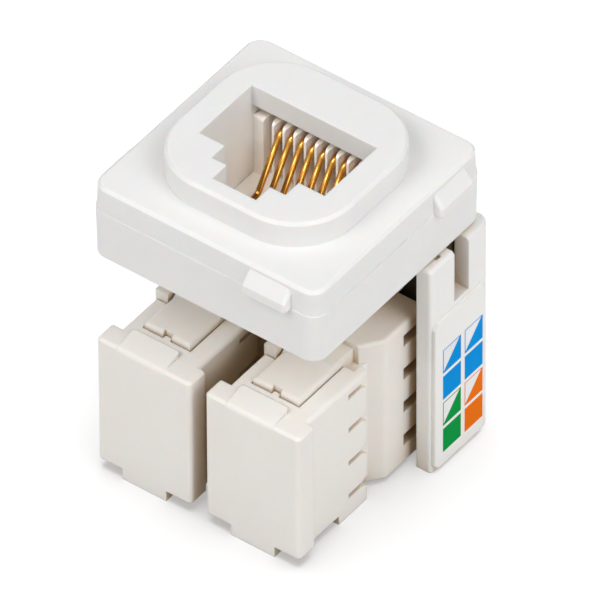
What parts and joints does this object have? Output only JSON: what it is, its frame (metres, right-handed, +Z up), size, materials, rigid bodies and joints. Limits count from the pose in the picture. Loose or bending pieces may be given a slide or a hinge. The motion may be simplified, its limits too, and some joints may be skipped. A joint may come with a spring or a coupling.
{
  "type": "eight position modular jack insert",
  "caption": "Snap-in wall-plate jack: square bezel with raised boss, stepped plug opening with gold spring contacts, punch-down terminal towers under pull-off wire caps, labelled rear shell",
  "frame": {"origin": "Middle of the bounding box on the plane that the insert stands on, under its rear end", "axes": "+X across the jack towards the right-hand wire cap, +Y from the wire caps to the rear shell's back wall, +Z up out of the plug opening"},
  "size_m": [0.0234, 0.023, 0.0308],
  "materials": {
    "bezel_plastic": "cool white moulded plastic, satin",
    "body_plastic": "warm off-white moulded plastic",
    "cap_plastic": "warm off-white moulded plastic",
    "contact_gold": "gold plated spring wire",
    "terminal_metal": "tin plated bronze strip",
    "board_laminate": "dark brown bare laminate",
    "printed_label": "white card printed with wiring colours"
  },
  "bodies": {
    "jack": {"front_bezel": "bezel_plastic", "contact_carrier": "bezel_plastic", "circuit_board": "board_laminate", "terminal_block": "body_plastic", "rear_shell": "body_plastic", "left_label": "printed_label", "right_label": "printed_label", "contact_1": "contact_gold", "contact_2": "contact_gold", "contact_3": "contact_gold", "contact_4": "contact_gold", "contact_5": "contact_gold", "contact_6": "contact_gold", "contact_7": "contact_gold", "contact_8": "contact_gold", "terminal_1": "terminal_metal", "terminal_2": "terminal_metal", "terminal_3": "terminal_metal", "terminal_4": "terminal_metal", "terminal_5": "terminal_metal", "terminal_6": "terminal_metal", "terminal_7": "terminal_metal", "terminal_8": "terminal_metal"},
    "left_cap": {"left_wire_cap": "cap_plastic"},
    "right_cap": {"right_wire_cap": "cap_plastic"}
  },
  "joints": [
    {"name": "left_cap_slide", "type": "slide", "parent": "jack", "child": "left_cap", "axis": [0, -1, 0], "range_m": [0, 0.009]},
    {"name": "right_cap_slide", "type": "slide", "parent": "jack", "child": "right_cap", "axis": [0, -1, 0], "range_m": [0, 0.009]}
  ]
}
